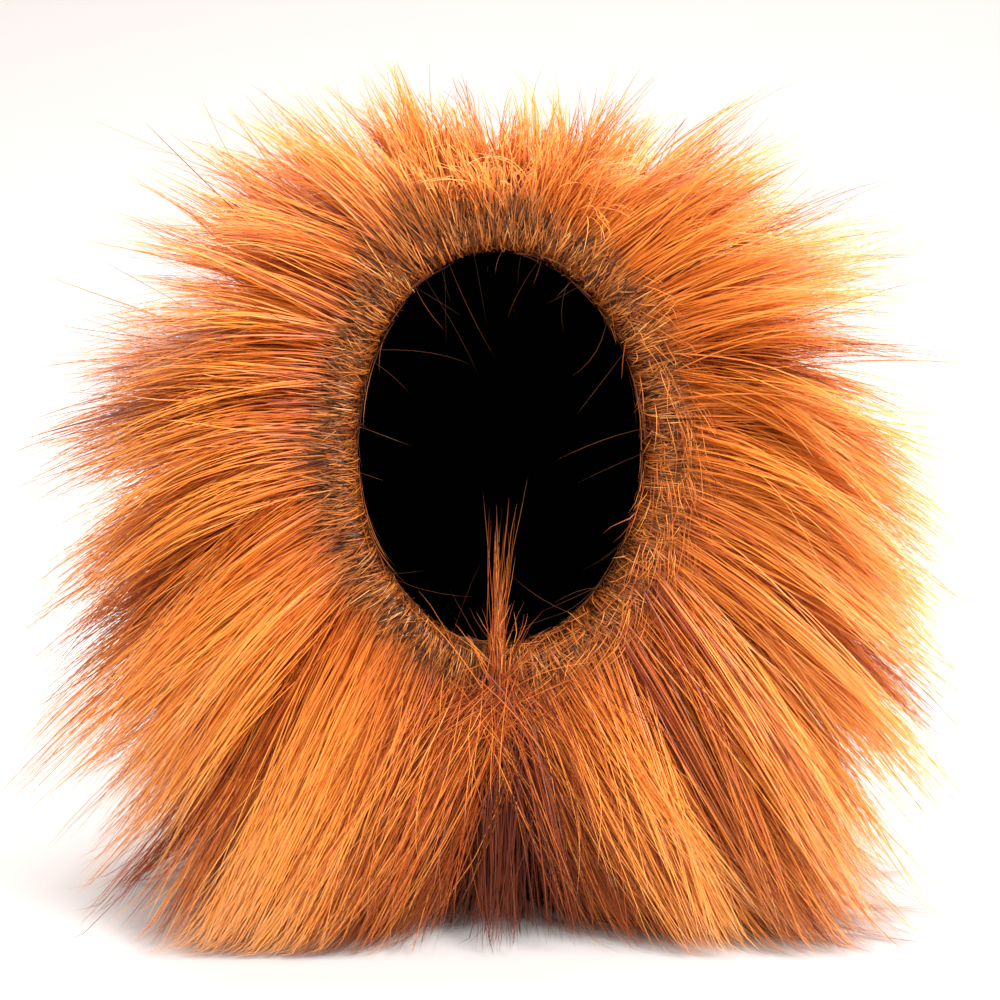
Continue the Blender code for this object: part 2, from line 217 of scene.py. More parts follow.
@dataclass(frozen=True)
class KnitFinish:
    """Knitted polyester cloth: fine wales that show as a soft ribbed grain.

    wale_mm is how far apart the ribs lie, and fuzz_mm how large the patches of fuzz are.
    """

    name: str
    light: str
    dark: str
    wale_mm: float = 1.2
    fuzz_mm: float = 2.5
    relief_mm: float = 0.4
    roughness: float = 0.92
    gloss: float = 0.12
    bump: float = 0.25

    def material(self) -> bpy.types.Material:
        """Make the material: ribs and fuzz as relief, and fuzz as colour.

        Returns:
            The material.
        """
        made, tree, shader = new_material(self.name)
        place = add_node(tree, "ShaderNodeTexCoord").outputs["Object"]
        ribs = {"Vector": place, "Scale": WAVE_SCALE / (self.wale_mm * MM), "Distortion": 1.5}
        wales = add_node(tree, "ShaderNodeTexWave", ribs, bands_direction="DIAGONAL")
        grain = {"Vector": place, "Scale": 1 / (self.fuzz_mm * MM), "Detail": 4.0}
        fuzz = add_node(tree, "ShaderNodeTexNoise", grain)
        both = {0: wales.outputs["Fac"], 1: fuzz.outputs["Fac"]}
        height = add_node(tree, "ShaderNodeMath", both, operation="ADD")
        colour = add_node(tree, "ShaderNodeValToRGB", {"Fac": fuzz.outputs["Fac"]})
        set_ramp(colour, ((0.3, self.dark), (0.7, self.light)))
        raised = {"Height": height.outputs[0], "Strength": self.bump, "Distance": self.relief_mm * MM}
        relief = add_node(tree, "ShaderNodeBump", raised)
        tree.links.new(colour.outputs["Color"], shader.inputs["Base Color"])
        tree.links.new(relief.outputs["Normal"], shader.inputs["Normal"])
        shader.inputs["Roughness"].default_value = self.roughness
        shader.inputs["Specular IOR Level"].default_value = self.gloss
        return made


def unit(vectors: Array) -> Array:
    """Scale vectors to a length of 1."""
    return vectors / np.maximum(np.linalg.norm(vectors, axis=-1, keepdims=True), 1e-12)


@dataclass
class HoodForm:
    """The hood's shape: rings from the face rim to the back of the head in millimetres, its shift in metres."""

    shift: Array
    depth: tuple[float, ...] = (-65.0, -58.0, -46.0, -20.0, 20.0, 52.0, 74.0, 86.0, 90.0)
    half_width: tuple[float, ...] = (66.0, 75.0, 83.0, 90.0, 92.0, 85.0, 68.0, 42.0, 12.0)
    top: tuple[float, ...] = (288.0, 294.0, 298.0, 301.0, 301.0, 292.0, 270.0, 230.0, 182.0)
    widest: tuple[float, ...] = (199.0, 192.0, 184.0, 176.0, 172.0, 168.0, 166.0, 165.0, 165.0)
    bottom: tuple[float, ...] = (110.0, 66.0, 8.0, -45.0, -52.0, -45.0, -12.0, 70.0, 148.0)
    squareness: float = 2.3
    probe_along: float = 0.02
    probe_clock: float = 2.0

    def read(self, column: tuple[float, ...], along: Array) -> Array:
        """Read a column of the rings smoothly.

        Args:
            column: one value for each ring.
            along: places from 0 at the rim to 1 at the back.

        Returns:
            The value at each place.
        """
        values = np.array(column)
        last = len(values) - 1
        place = np.clip(along, 0, 1) * last
        row = np.minimum(place.astype(int), last - 1)
        t = place - row
        a, b, c, d = (values[np.clip(row + step, 0, last)] for step in (-1, 0, 1, 2))
        return b + 0.5 * t * (c - a + t * (2 * a - 5 * b + 4 * c - d + t * (3 * (b - c) + d - a)))

    def point(self, clock: Array, along: Array) -> Array:
        """Points of the hood's outer surface.

        Args:
            clock: clock angles in degrees, seen from the front.
            along: places from 0 at the rim to 1 at the back.

        Returns:
            Points in metres, in the part's frame.
        """
        side, rise = np.sin(np.radians(clock)), np.cos(np.radians(clock))
        top, widest, bottom = (self.read(c, along) for c in (self.top, self.widest, self.bottom))
        height = np.where(rise > 0, top - widest, widest - bottom)
        power = self.squareness
        share = (np.abs(side) / self.read(self.half_width, along)) ** power + (np.abs(rise) / height) ** power
        radius = share ** (-1 / power)
        flat = np.stack([radius * side, self.read(self.depth, along), widest + radius * rise], -1)
        return flat * MM + self.shift

    def normal(self, clock: Array, along: Array) -> Array:
        """The outward direction at points of the surface.

        Args:
            clock: clock angles in degrees.
            along: places from 0 at the rim to 1 at the back.

        Returns:
            Unit directions.
        """
        low = np.maximum(along - self.probe_along / 2, 0)
        backward = self.point(clock, low + self.probe_along) - self.point(clock, low)
        around = self.point(clock + self.probe_clock, along) - self.point(clock - self.probe_clock, along)
        return unit(np.cross(around, backward))


@dataclass(frozen=True)
class Comb:
    """How the pile is combed at a root's clock angle: degrees that its tip turns, and the bow of its arc."""

    clock: float
    turn: float
    bow_mm: float


@dataclass(frozen=True)
class Reach:
    """Where tips lie at a tip's clock angle: distance from the face centre, and how far back of the front."""

    clock: float
    reach_mm: float
    back_mm: float


@dataclass(frozen=True)
class Layer:
    """How tips lie by the root's place on the hood, from the rim at 0 to the back of the head at 1."""

    along: float
    share: float
    depth_mm: float
    lift_mm: float
    droop_mm: float


@dataclass(frozen=True)
class Parting:
    """A furrow in the pile, at a tip's clock angle, where hairs draw apart and are painted darker as shade."""

    clock: float
    half_width: float
    depth: float


COMBS = (
    Comb(0, 0, 0), Comb(15, 6, 3), Comb(30, 16, 6), Comb(48, 20, 9), Comb(68, 21, 14), Comb(88, 20, 20),
    Comb(108, 12, 18), Comb(130, 5, 10), Comb(150, -1, 4), Comb(165, -7, 0), Comb(176, -6, 0),
    Comb(180, 0, 0), Comb(184, 6, 0), Comb(195, 7, 0), Comb(210, 1, 4), Comb(230, -4, 10),
    Comb(250, -10, 18), Comb(272, -18, 20), Comb(292, -20, 14), Comb(312, -19, 9), Comb(330, -16, 6),
    Comb(345, -6, 3), Comb(360, 0, 0),
)

REACHES = (
    Reach(0, 120, 38), Reach(15, 126, 38), Reach(30, 140, 34), Reach(45, 161, 26), Reach(60, 164, 12),
    Reach(70, 174, 0), Reach(80, 152, 0), Reach(90, 158, 0), Reach(105, 184, 0), Reach(120, 214, -10),
    Reach(134, 236, -18), Reach(144, 248, -26), Reach(154, 254, -26), Reach(165, 248, -14),
    Reach(180, 240, 0), Reach(195, 248, -14), Reach(206, 248, -26), Reach(215, 234, -22),
    Reach(225, 220, -14), Reach(240, 202, -8), Reach(255, 188, 0), Reach(270, 172, 0), Reach(285, 156, 0),
    Reach(300, 158, 12), Reach(315, 160, 26), Reach(330, 144, 34), Reach(345, 126, 38), Reach(360, 120, 38),
)

LAYERS = (
    Layer(0.0, 0.93, -101, 20, 0), Layer(0.13, 0.96, -94, 18, 0), Layer(0.27, 1.0, -58, 14, 0),
    Layer(0.44, 0.97, -8, 8, 4), Layer(0.61, 0.92, 56, 12, 12), Layer(0.76, 0.74, 108, 22, 38),
    Layer(0.92, 0.36, 132, 28, 58), Layer(1.0, 0.16, 138, 30, 66),
)

PARTINGS = (
    Parting(81, 5, 0.6), Parting(122, 3, 0.7), Parting(146, 3, 0.6), Parting(163, 3, 0.5),
    Parting(180, 13, 1.0), Parting(197, 3, 0.5), Parting(216, 3, 0.7), Parting(243, 3, 0.45),
    Parting(274, 4, 0.25), Parting(303, 4, 0.2),
)


def look_up(rows: tuple[Comb | Reach | Layer, ...], name: str, places: Array) -> Array:
    """Read a column of a table between its rows, which each start with their place.

    Args:
        rows: the table.
        name: the column.
        places: the clock angles, or the places along the hood, to read it at.

    Returns:
        The value at each place.
    """
    return np.interp(places, [astuple(row)[0] for row in rows], [getattr(row, name) for row in rows])


@dataclass
class ManeFlow:
    """How the pile is combed: where a hair's tip and its bend lie, from its root on the hood."""

    hood: HoodForm
    low: Array
    high: Array
    face_height_mm: float = 198.5
    bend_place: float = 0.45
    front_fade: float = 0.45
    furrow_end: float = 0.58
    furrow_fade: float = 0.1
    furrow_draw: float = 0.8

    def comb(self, clock: Array, along: Array, jitter: Array, under: Array) -> tuple[Array, ...]:
        """The root, bend and tip of hairs.

        Args:
            clock: root clock angles in degrees.
            along: root places on the hood.
            jitter: three columns: tip turn in degrees, reach share, tip depth in millimetres.
            under: true for a hair of the lowest layer, which stays in the furrows.

        Returns:
            Roots, bends and tips as points, and how deep in a furrow each hair lies, which sets its painted
            shade.
        """
        root, out = self.hood.point(clock, along), self.hood.normal(clock, along)
        own = clock % 360
        front = np.clip((self.furrow_end - along) / self.furrow_fade, 0, 1)
        tip_clock, furrow = self.part(own + look_up(COMBS, "turn", own) + jitter[:, 0], under, front)
        reach = look_up(REACHES, "reach_mm", tip_clock % 360) * look_up(LAYERS, "share", along)
        reach = reach * (1 + jitter[:, 1])
        back = look_up(REACHES, "back_mm", tip_clock % 360) * np.clip(1 - along / self.front_fade, 0, 1)
        turn = np.radians(tip_clock)
        depth = look_up(LAYERS, "depth_mm", along) + back + jitter[:, 2]
        height = self.face_height_mm + reach * np.cos(turn) - look_up(LAYERS, "droop_mm", along)
        tip = np.stack([reach * np.sin(turn), depth, height], -1) * MM + self.hood.shift
        lift = look_up(LAYERS, "lift_mm", along)[:, None] * MM
        bow = look_up(COMBS, "bow_mm", own)[:, None] * MM
        middle = root + (tip - root) * self.bend_place + out * lift + bow * UP
        return root, middle, tip, furrow

    def part(self, clock: Array, under: Array, front: Array) -> tuple[Array, Array]:
        """Draw tips away from the furrows.

        Args:
            clock: tip clock angles.
            under: true for a hair that stays where it is.
            front: how far each hair belongs to the front of the mane, which alone has furrows.

        Returns:
            New clock angles, and each hair's painted furrow shade from 0 to 1.
        """
        furrow = np.zeros_like(clock)
        for row in PARTINGS:
            off = (clock - row.clock + 180) % 360 - 180
            near = front * np.exp(-((off / row.half_width) ** 2))
            drawn = np.sign(off) * near * row.half_width * self.furrow_draw * row.depth
            clock = clock + np.where(under, 0, drawn)
            furrow = np.maximum(furrow, near * row.depth)
        return clock, furrow

    def inside(self, points: Array) -> Array:
        """Keep control points inside the room that the pile may fill."""
        return np.clip(points, self.low, self.high)


@dataclass
class StrandMesh:
    """Many hairs as one mesh: each a flat ribbon of a few quads that ends in a point."""

    stations: int = 7
    floor: float = 1.2 * MM
    lying_layers: int = 90
    layer_mm: float = 0.02
    taper: tuple[float, ...] = (0.8, 1.0, 1.0, 0.85, 0.5)
    paths: list[Array] = field(default_factory=list)
    widths: list[Array] = field(default_factory=list)
    tints: list[Array] = field(default_factory=list)
    facing: list[Array] = field(default_factory=list)
    starts: list[Array] = field(default_factory=list)

    def add(
        self, paths: Array, width_mm: Array, tint: Array, facing: Array, start: Array | float = 0.0
    ) -> None:
        """Take in hairs.

        Args:
            paths: hairs by stations by three.
            width_mm: each hair's width.
            tint: each hair's tint, from 0 dark to 1 pale.
            facing: the direction that each ribbon turns its flat side to.
            start: the place on the root to tip colours where the hairs begin.
        """
        self.paths.append(paths)
        self.widths.append(width_mm * MM)
        self.tints.append(np.clip(tint, *TINTS))
        self.facing.append(facing)
        self.starts.append(np.broadcast_to(start, len(paths)))

    def ribbons(self) -> Array:
        """The corner points of every ribbon, kept above the floor in thin layers.

        Returns:
            Hairs by points by three.
        """
        paths, facing = np.concatenate(self.paths), np.concatenate(self.facing)
        body = self.stations - 1
        side = unit(np.cross(unit(np.gradient(paths, axis=1)), facing[:, None, :]))
        taper = np.interp(np.linspace(0, 1, body), np.linspace(0, 1, len(self.taper)), self.taper)
        half = side[:, :body] * (np.concatenate(self.widths)[:, None] * taper / 2)[:, :, None]
        pairs = np.stack([paths[:, :body] - half, paths[:, :body] + half], 2).reshape(len(paths), -1, 3)
        points = np.concatenate([pairs, paths[:, body:]], 1)
        lying = self.floor + (np.arange(len(points)) % self.lying_layers)[:, None] * self.layer_mm * MM
        points[:, :, 2] = np.maximum(points[:, :, 2], lying)
        return points

    def finish(self, name: str, surface: bpy.types.Material) -> bpy.types.Object:
        """Make the mesh object.

        Args:
            name: the object's name.
            surface: its material.

        Returns:
            The object, in the scene.
        """
        points = self.ribbons()
        count, per = points.shape[:2]
        quads = [(2 * i, 2 * i + 1, 2 * i + 3, 2 * i + 2) for i in range(self.stations - 2)]
        corners = np.array([corner for quad in quads for corner in quad] + [per - 3, per - 2, per - 1])
        begins = 4 * np.arange(len(quads) + 1)
        loops = (np.arange(count)[:, None] * per + corners).reshape(-1)
        mesh = bpy.data.meshes.new(name)
        mesh.vertices.add(count * per)
        mesh.vertices.foreach_set("co", points.reshape(-1).astype(np.float32))
        mesh.loops.add(len(loops))
        mesh.loops.foreach_set("vertex_index", loops.astype(np.int32))
        mesh.polygons.add(count * len(begins))
        firsts = (np.arange(count)[:, None] * len(corners) + begins).reshape(-1)
        mesh.polygons.foreach_set("loop_start", firsts.astype(np.int32))
        mesh.polygons.foreach_set("use_smooth", np.ones(len(firsts), bool))
        share = np.minimum(np.arange(per) // 2, self.stations - 1) / (self.stations - 1)
        starts, tints = np.concatenate(self.starts)[:, None], np.concatenate(self.tints)[:, None]
        places = starts + (1 - starts) * share
        uv = np.stack([np.broadcast_to(tints, places.shape), places], -1).reshape(-1, 2)
        layer = mesh.uv_layers.new(name="strand")
        layer.uv.foreach_set("vector", uv[loops].astype(np.float32).reshape(-1))
        mesh.update(calc_edges=True)
        return place_mesh(mesh, name, surface)


def turned(rng: np.random.Generator, facing: Array, spread: float, count: int) -> Array:
    """Turn the flat side of each hair a little at random from where it faces."""
    return unit(facing + rng.normal(0, spread, (count, 3)))


def bend(root: Array, middle: Array, tip: Array, ends: Array, stations: int) -> Array:
    """Points along curves that leave the root and bend over to the tip.

    Args:
        root: where hairs start.
        middle: what they bend towards.
        tip: where a hair of full length ends.
        ends: how far along the curve each hair goes.
        stations: points on each hair.

    Returns:
        Hairs by stations by three.
    """
    t = (ends[:, None] * np.linspace(0, 1, stations)[None, :])[:, :, None]
    root, middle, tip = root[:, None], middle[:, None], tip[:, None]
    return root * (1 - t) ** 2 + middle * 2 * t * (1 - t) + tip * t**2


def crimp(rng: np.random.Generator, count: int, stations: int) -> Array:
    """A slight wave in each hair, which grows towards its tip.

    Args:
        rng: the random numbers.
        count: how many hairs.
        stations: points on each hair.

    Returns:
        Offsets, hairs by stations by three.
    """
    share = np.linspace(0, 1, stations)[None, :, None]
    phase = rng.uniform(0, 2 * math.pi, (count, 1, 3))
    turns = rng.uniform(*CRIMP_TURNS, (count, 1, 3))
    size = rng.uniform(*CRIMP_SIZE, (count, 1, 1)) * MM
    return np.sin(phase + 2 * math.pi * turns * share) * size * share


@dataclass
class Wander:
    """A smooth random field over the hood, which parts the pile into larger locks.

    Each wave goes round the hood at least low times and fewer than high, and leans over towards the back.
    """

    seed: int
    low: int
    high: int
    waves: int = 14
    lean: float = 14.0
    spread: float = 1.6

    def at(self, clock: Array, along: Array) -> Array:
        """Read the field.

        Args:
            clock: clock angles in degrees.
            along: places from 0 at the rim to 1 at the back.

        Returns:
            The value at each place, about from -1 to 1.
        """
        rng = np.random.default_rng(self.seed)
        total = np.zeros_like(np.asarray(clock, float))
        for _ in range(self.waves):
            around = rng.integers(self.low, self.high)
            back = rng.uniform(-self.lean, self.lean)
            total += np.sin(np.radians(clock) * around + along * back + rng.uniform(0, 2 * math.pi))
        return total / math.sqrt(self.waves / 2) / self.spread


@dataclass
class Wisps:
    """The wisps of a panel, a row for each: its place on the hood, its course and its tint."""

    clock: Array
    along: Array
    root: Array
    middle: Array
    tip: Array
    tint: Array


@dataclass
class FurPanel:
    """A fur panel: its knitted backing and its pile, standing for one node.

    Each jitter is how much a wisp departs from the comb: tip turn in degrees, reach share and depth in
    millimetres. The broad, wide and fine ones are shared by neighbours, which gathers wisps into locks, and
    their waves are the low and high of a Wander. spread_kept is how much of the roots' spread is left at the
    bend and at the tip.
    """

    node: str
    clock_from: float
    clock_to: float
    along_from: float
    along_to: float
    wisps: int
    hairs: int
    seed: int
    label: str = "pile"
    broad_jitter: Triple = (4.0, 0.04, 7.0)
    wide_jitter: Triple = (5.0, 0.06, 12.0)
    fine_jitter: Triple = (2.4, 0.045, 7.0)
    own_jitter: Triple = (2.4, 0.06, 11.0)
    broad_waves: tuple[int, int] = (2, 7)
    wide_waves: tuple[int, int] = (6, 26)
    fine_waves: tuple[int, int] = (30, 80)
    long_share: float = 0.14
    long_by: Pair = (0.05, 0.24)
    under_share: float = 0.2
    under_height: float = 0.1
    height_mm: float = 13.0
    middle_height: float = 0.4
    tip_rise: float = 0.5
    furrow_sink: float = 0.7
    wisp_spread_mm: float = 4.6
    least_radius_mm: float = 40.0
    spread_kept: Pair = (0.75, 0.25)
    roll_along: float = 0.15
    roll_share: float = 0.75
    roll_section: Pair = (-10.0, 75.0)
    root_rise_mm: float = 1.5
    stray_share: float = 0.18
    tip_spread_mm: float = 2.4
    stray_spread_mm: float = 11.0
    middle_spread: float = 0.45
    shortest: float = 0.5
    shortness: float = 1.3
    lowest_root_mm: float = 12.0
    stations: int = 10
    width_mm: Pair = (0.28, 0.58)
    turned: float = 0.13
    mid_tint: float = 0.40
    # painted light and shade: lightens or darkens a whole panel as its side is lit or shaded
    painted_light_shift: float = 0.0
    # painted shade: wisps that stand lower in the pile are darker, higher ones lighter
    painted_depth_shade: float = 0.32
    # painted shade: hairs that lie in a furrow are darker
    painted_furrow_shade: float = 0.42
    wide_tint: float = 0.08
    wisp_tints: float = 0.06
    hair_tints: float = 0.055
    dark_share: float = 0.07
    dark_tint: float = 0.4
    roll_start: float = 0.16
    backing_mm: float = 2.5
    backing_wall_mm: float = 1.2
    backing_foot_mm: float = 10.0
    backing_rows: int = 15
    backing_column_deg: float = 4.0
    backing_along: Pair = (0.02, 0.995)
    pole_from: float = 0.9
    pole_left: float = 0.1
    cut_share: float = 0.85

    def gather(self, rng: np.random.Generator, flow: ManeFlow) -> Wisps:
        """Spread the panel's wisps over it and comb them.

        Args:
            rng: the random numbers.
            flow: how the mane is combed.

        Returns:
            The wisps.
        """
        clock = rng.uniform(self.clock_from, self.clock_to, self.wisps)
        along = self.along_from + (self.along_to - self.along_from) * rng.uniform(0, 1, self.wisps)
        kept = flow.hood.point(clock, along)[:, 2] > self.lowest_root_mm * MM
        clock, along = clock[kept], along[kept]
        count = len(clock)
        broad, wide, fine = (
            np.stack([Wander(seed + i, *waves).at(clock, along) for i in range(3)], 1)
            for seed, waves in (
                (BROAD_SEED, self.broad_waves),
                (self.seed * 10, self.wide_waves),
                (self.seed * 10 + 5, self.fine_waves),
            )
        )
        jitter = broad * self.broad_jitter + wide * self.wide_jitter + fine * self.fine_jitter
        jitter += rng.normal(0, 1, (count, 3)) * self.own_jitter
        long = rng.uniform(0, 1, count) < self.long_share
        jitter[:, 1] += np.where(long, rng.uniform(*self.long_by, count), 0)
        under = rng.uniform(0, 1, count) < self.under_share
        root, middle, tip, furrow = flow.comb(clock, along, jitter, under)
        height = rng.uniform(0, 1, count) * np.where(under, self.under_height, 1 - self.furrow_sink * furrow)
        raised = (self.height_mm * (height - self.middle_height) * MM)[:, None]
        rise = flow.hood.normal(clock, along) * raised
        # Painted light and shade in each wisp's tint: the panel's light shift, lower wisps darker as shade deep
        # in the pile, and hairs in furrows darker as shade; the wide and own tints are random tone.
        tint = self.mid_tint + self.painted_light_shift + self.painted_depth_shade * height + self.wide_tint * wide[:, 2]
        tint += self.wisp_tints * rng.normal(0, 1, count) - self.painted_furrow_shade * furrow
        return Wisps(clock, along, root, middle + rise, tip + self.tip_rise * rise, tint)

    def pile(self, flow: ManeFlow, hem: "FaceHem", surface: bpy.types.Material) -> bpy.types.Object:
        """Grow the panel's pile: hairs that leave the cloth apart and come together at their wisp's tip.

        Args:
            flow: how the mane is combed.
            hem: the padded roll, which the foremost hairs start on.
            surface: the pile's material.

        Returns:
            The pile's object.
        """
        rng = np.random.default_rng(self.seed)
        wisps = self.gather(rng, flow)
        own = rng.integers(0, len(wisps.clock), self.hairs)
        root = wisps.root[own]
        around = np.maximum(np.hypot(root[:, 0], root[:, 2] - HEAD_HEIGHT), self.least_radius_mm * MM)
        shift = rng.normal(0, self.wisp_spread_mm, (self.hairs, 2)) * MM
        clock = wisps.clock[own] + np.degrees(shift[:, 0] / around)
        along = np.clip(wisps.along[own] + shift[:, 1] / HOOD_LENGTH, 0.0, 1.0)
        on_cloth = flow.hood.point(clock, along)
        apart = on_cloth - root
        on_roll = (along < self.roll_along) & (rng.uniform(0, 1, self.hairs) < self.roll_share)
        start = np.where(
            on_roll[:, None],
            hem.surface(clock, rng.uniform(*self.roll_section, self.hairs)),
            on_cloth + flow.hood.normal(clock, along) * self.root_rise_mm * MM,
        )
        stray = rng.uniform(0, 1, self.hairs) < self.stray_share
        spread = np.where(stray, self.stray_spread_mm, self.tip_spread_mm)[:, None] * MM
        middle_kept, tip_kept = self.spread_kept
        tip = wisps.tip[own] + apart * tip_kept + rng.normal(0, 1, (self.hairs, 3)) * spread
        middle = wisps.middle[own] + apart * middle_kept
        middle += rng.normal(0, 1, (self.hairs, 3)) * spread * self.middle_spread
        ends = 1 - (1 - self.shortest) * rng.uniform(0, 1, self.hairs) ** self.shortness
        paths = bend(start, flow.inside(middle), flow.inside(tip), ends, self.stations)
        paths += crimp(rng, self.hairs, self.stations)
        away = unit(paths[:, self.stations // 2] - flow.hood.shift - HEAD_HEIGHT * UP)
        facing = turned(rng, away, self.turned, self.hairs)
        tint = wisps.tint[own] + rng.normal(0, self.hair_tints, self.hairs)
        tint = np.where(rng.uniform(0, 1, self.hairs) < self.dark_share, tint * self.dark_tint, tint)
        mesh = StrandMesh(self.stations)
        width = rng.uniform(*self.width_mm, self.hairs)
        mesh.add(paths, width, tint, facing, np.where(on_roll, self.roll_start, 0.0))
        return stand_for(mesh.finish(f"{self.node}_{self.label}", surface), self.node)

    def backing(self, hood: HoodForm, surface: bpy.types.Material) -> bpy.types.Object:
        """Make the knitted cloth that the pile is rooted in, from a grid laid over the hood.

        Args:
            hood: the hood's shape.
            surface: the cloth's material.

        Returns:
            The cloth's object.
        """
        low, high = np.clip((self.along_from, self.along_to), *self.backing_along)
        columns = round((self.clock_to - self.clock_from) / self.backing_column_deg)
        bm = bmesh.new()
        made = bmesh.ops.create_grid(bm, x_segments=columns, y_segments=self.backing_rows, size=0.5)
        spots = np.array([vertex.co for vertex in made["verts"]]) + 0.5
        clock = self.clock_from + (self.clock_to - self.clock_from) * spots[:, 0]
        along = low + (high - low) * spots[:, 1]
        points = hood.point(clock, along) + hood.normal(clock, along) * self.backing_mm * MM
        if self.along_to > self.pole_from:
            last = spots[:, 1] > 1 - 0.5 / self.backing_rows
            pole = hood.point(np.array([0.0, 180.0]), np.ones(2)).mean(0) - self.backing_mm * MM * FORWARD
            points[last] = pole + (points[last] - pole) * self.pole_left
        for vertex, point in zip(made["verts"], points):
            vertex.co = point
        area = cloth_wall(bm, self.backing_foot_mm, self.backing_wall_mm)
        obj = stand_for(mesh_object(bm, f"{self.node}_backing", surface), self.node)
        return obj


def place_mesh(mesh: bpy.types.Mesh, name: str, surface: bpy.types.Material) -> bpy.types.Object:
    """Put a finished mesh in the scene.

    Args:
        mesh: the mesh.
        name: the object's name.
        surface: its material.

    Returns:
        The object.
    """
    mesh.materials.append(surface)
    obj = bpy.data.objects.new(name, mesh)
    bpy.context.scene.collection.objects.link(obj)
    return obj


def mesh_object(bm: bmesh.types.BMesh, name: str, surface: bpy.types.Material) -> bpy.types.Object:
    """Make an object of a finished bmesh.

    Args:
        bm: the bmesh, which is freed.
        name: the object's name.
        surface: its material.

    Returns:
        The object, in the scene.
    """
    mesh = bpy.data.meshes.new(name)
    bm.to_mesh(mesh)
    bm.free()
    mesh.polygons.foreach_set("use_smooth", np.ones(len(mesh.polygons), bool))
    return place_mesh(mesh, name, surface)


def cloth_wall(bm: bmesh.types.BMesh, foot_mm: float, wall_mm: float) -> float:
    """Cut a cloth's surface off above the floor, and give it its thickness.

    Args:
        bm: the surface.
        foot_mm: the height at which it ends.
        wall_mm: the thickness.

    Returns:
        The surface's area in square metres.
    """
    every = bm.verts[:] + bm.edges[:] + bm.faces[:]
    bmesh.ops.bisect_plane(bm, geom=every, plane_co=UP * foot_mm * MM, plane_no=UP, clear_inner=True)
    bmesh.ops.recalc_face_normals(bm, faces=bm.faces)
    area = sum(face.calc_area() for face in bm.faces)
    bmesh.ops.solidify(bm, geom=bm.faces[:], thickness=wall_mm * MM)
    bmesh.ops.recalc_face_normals(bm, faces=bm.faces)
    return area


def bridge_rings(bm: bmesh.types.BMesh, rings: list[list[bmesh.types.BMVert]], closed: bool) -> None:
    """Join each ring to the next with faces, and turn the faces outwards.

    Args:
        bm: the bmesh that holds the rings.
        rings: the vertices of each ring.
        closed: true where the last ring joins the first.
    """
    loops = [list(dict.fromkeys(edge for vertex in ring for edge in vertex.link_edges)) for ring in rings]
    following = loops[1:] + (loops[:1] if closed else [])
    for loop, onward in zip(loops, following):
        bmesh.ops.bridge_loops(bm, edges=loop + onward)
    bmesh.ops.recalc_face_normals(bm, faces=bm.faces)


@dataclass
class HoodLining:
    """The black knitted cloth inside the hood."""

    hood: HoodForm
    finish: KnitFinish
    segments: int = 64
    rings: int = 40
    foot_mm: float = 6.4
    wall_mm: float = 1.5

    def build(self) -> bpy.types.Object:
        """Make the lining as one sheet with a wall, open at the face and the neck.

        Returns:
            The lining's object.
        """
        bm = bmesh.new()
        rings = []
        for along in np.linspace(0, 1, self.rings):
            last = bool(along == 1)
            made = bmesh.ops.create_circle(bm, cap_ends=last, segments=self.segments, radius=1.0)["verts"]
            clocks = np.degrees([math.atan2(vertex.co.x, vertex.co.y) for vertex in made])
            for vertex, point in zip(made, self.hood.point(clocks, np.full(len(made), along))):
                vertex.co = point
            rings.append(made)
        bridge_rings(bm, rings, closed=False)
        area = cloth_wall(bm, self.foot_mm, self.wall_mm)
        obj = mesh_object(bm, "lining_cloth", self.finish.material())
        stand_for(obj, "hood_lining")
        return obj


